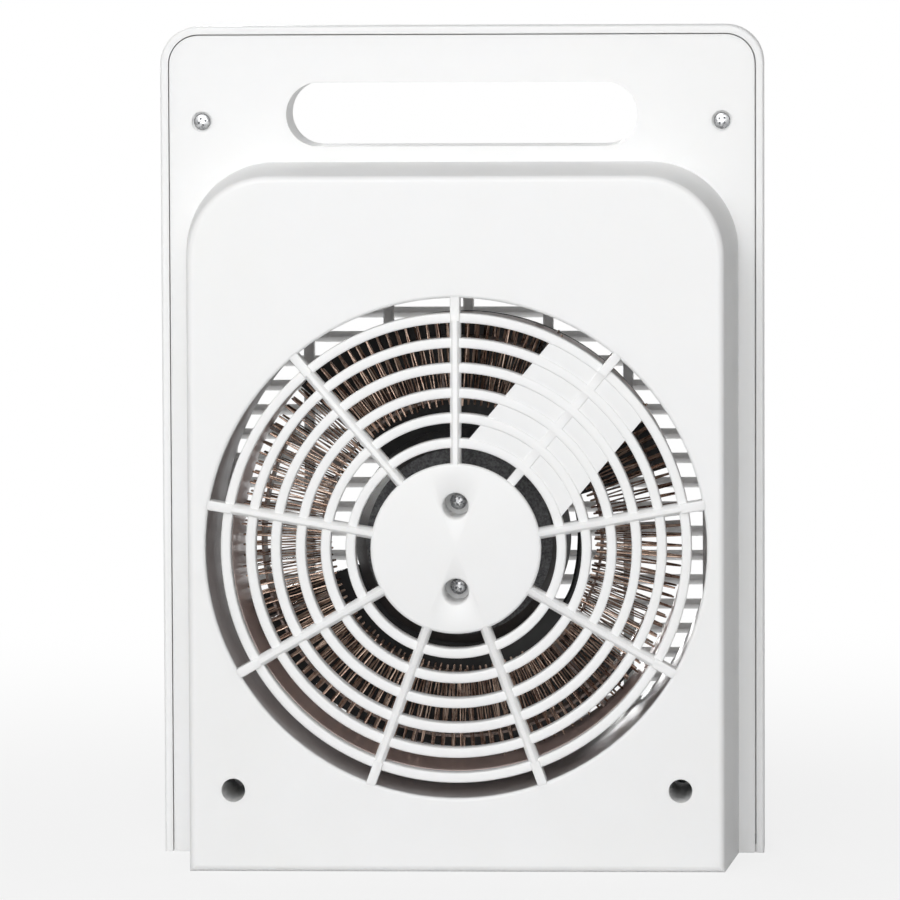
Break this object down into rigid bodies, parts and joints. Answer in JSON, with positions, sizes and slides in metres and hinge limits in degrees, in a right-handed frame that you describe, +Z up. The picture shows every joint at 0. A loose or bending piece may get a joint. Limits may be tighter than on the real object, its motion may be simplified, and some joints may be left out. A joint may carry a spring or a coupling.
{
  "type": "fan heater",
  "caption": "Upright flat fan heater with a handle slot, round rear intake grille, wire heating element, fan and louvred front outlet with rotary controls.",
  "frame": {"origin": "on the floor under the middle of the heater's bounding box", "axes": "+Z up along the height, +Y towards the rear intake, warm air leaves towards -Y, +X to the right seen from the front"},
  "size_m": [0.189, 0.112, 0.26],
  "materials": {
    "white_abs": "fine satin moulding",
    "bright_steel": "bright rolled sheet",
    "ceramic": "unglazed steatite",
    "mica": "pressed mica sheet",
    "nichrome": "heat-tinted resistance wire",
    "thermal_metal": "plain",
    "motor_steel": "plain",
    "bearing_bronze": "sintered",
    "grey_cover": "grained, dark grey",
    "black_plastic": "satin black",
    "knob_plastic": "satin",
    "amber_lens": "clear amber",
    "lamp_glass": "clear",
    "gland_plastic": "satin",
    "zinc_screw": "bright zinc plate",
    "black_lead": "silicone sleeve",
    "white_lead": "silicone sleeve"
  },
  "bodies": {
    "case": {"front_shell": "white_abs", "rear_cover": "white_abs", "rear_grille": "white_abs", "front_grille": "white_abs", "air_duct": "bright_steel", "element_ring": "bright_steel", "ring_spacers": "ceramic", "terminal_block": "ceramic", "mica_band_inner": "mica", "mica_band_outer": "mica", "mica_arms": "mica", "heating_coil_rear": "nichrome", "heating_coil_front": "nichrome", "thermal_cutout": "thermal_metal", "thermal_fuse": "thermal_metal", "motor_can": "motor_steel", "motor_bearings": "bearing_bronze", "motor_cover": "grey_cover", "selector_switch": "black_plastic", "thermostat": "black_plastic", "indicator_lens": "amber_lens", "indicator_lamp": "lamp_glass", "cord_gland": "gland_plastic", "case_screws_top": "zinc_screw", "case_screws_bottom": "zinc_screw", "motor_screws": "zinc_screw", "motor_lead": "black_lead", "supply_lead_live": "black_lead", "supply_lead_neutral": "white_lead", "element_lead": "white_lead"},
    "rotor": {"motor_shaft": "motor_steel", "motor_rotor": "motor_steel", "fan": "black_plastic", "fan_nut": "motor_steel"},
    "selector": {"selector_knob": "knob_plastic", "selector_spindle": "motor_steel"},
    "thermostat_dial": {"thermostat_knob": "knob_plastic", "thermostat_spindle": "motor_steel"}
  },
  "joints": [
    {"name": "fan_spin", "type": "hinge", "parent": "case", "child": "rotor", "pos_m": [0, 0, 0.1001], "axis": [0, 1, 0], "continuous": true},
    {"name": "selector_turn", "type": "hinge", "parent": "case", "child": "selector", "pos_m": [0.038, -0.042, 0.1964], "axis": [0, 1, 0], "range_deg": [0, 135]},
    {"name": "thermostat_turn", "type": "hinge", "parent": "case", "child": "thermostat_dial", "pos_m": [-0.038, -0.042, 0.1964], "axis": [0, 1, 0], "range_deg": [-135, 135]}
  ]
}
